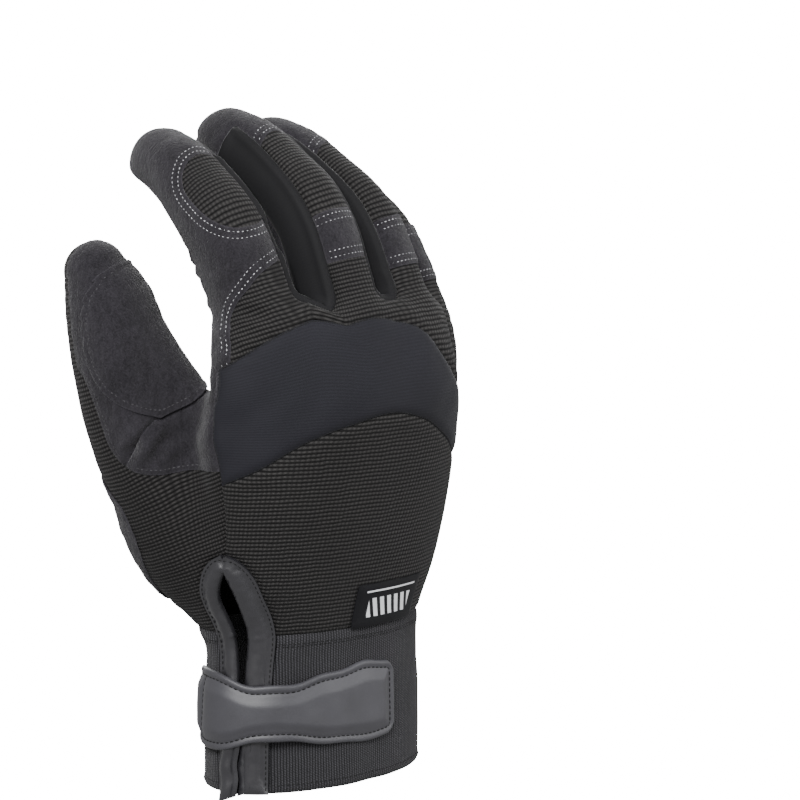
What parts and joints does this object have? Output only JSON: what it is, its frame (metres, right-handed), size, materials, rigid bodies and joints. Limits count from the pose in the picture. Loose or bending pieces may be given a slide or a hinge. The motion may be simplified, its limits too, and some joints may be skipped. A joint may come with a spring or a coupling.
{
  "type": "work glove",
  "caption": "Five-finger work glove with knit back, suede palm, knuckle band, elastic cuff and a wrist strap over the cuff's slit.",
  "frame": {"origin": "centre of the cuff's mouth, in the plane of its rim", "axes": "+Z from the cuff towards the fingertips, -Y out of the back of the hand, +Y out of the palm, -X towards the thumb"},
  "size_m": [0.1276, 0.0834, 0.2124],
  "materials": {
    "cuff_band": "matte charcoal waffle knit",
    "back_panel": "matte charcoal waffle knit",
    "knuckle_band": "smooth dark stretch fabric",
    "upper_back_panel": "matte charcoal waffle knit",
    "index_back": "matte charcoal waffle knit",
    "middle_back": "matte charcoal waffle knit",
    "ring_back": "matte charcoal waffle knit",
    "little_back": "matte charcoal waffle knit",
    "middle_knuckle_patch": "napped dark grey synthetic suede",
    "ring_knuckle_patch": "napped dark grey synthetic suede",
    "little_knuckle_patch": "napped dark grey synthetic suede",
    "middle_fingertip": "napped dark grey synthetic suede",
    "ring_fingertip": "napped dark grey synthetic suede",
    "fourchette_index_middle": "smooth dark stretch fabric",
    "fourchette_middle_ring": "smooth dark stretch fabric",
    "fourchette_ring_little": "smooth dark stretch fabric",
    "palm_panel": "napped dark grey synthetic suede",
    "thumb_front": "napped dark grey synthetic suede",
    "thumb_back": "matte charcoal waffle knit",
    "slit_binding": "soft satin black coated fabric",
    "heel_patch": "napped dark grey synthetic suede",
    "thumb_patch": "napped dark grey synthetic suede",
    "label": "soft satin black coated fabric",
    "wrist_strap": "soft satin black coated fabric"
  },
  "bodies": {
    "root": {"cuff_band": "cuff_band", "back_panel": "back_panel", "knuckle_band": "knuckle_band", "upper_back_panel": "upper_back_panel", "index_back": "index_back", "middle_back": "middle_back", "ring_back": "ring_back", "little_back": "little_back", "middle_knuckle_patch": "middle_knuckle_patch", "ring_knuckle_patch": "ring_knuckle_patch", "little_knuckle_patch": "little_knuckle_patch", "middle_fingertip": "middle_fingertip", "ring_fingertip": "ring_fingertip", "fourchette_index_middle": "fourchette_index_middle", "fourchette_middle_ring": "fourchette_middle_ring", "fourchette_ring_little": "fourchette_ring_little", "palm_panel": "palm_panel", "thumb_front": "thumb_front", "thumb_back": "thumb_back", "slit_binding": "slit_binding", "heel_patch": "heel_patch", "thumb_patch": "thumb_patch", "label": "label", "wrist_strap": "wrist_strap"}
  },
  "joints": []
}
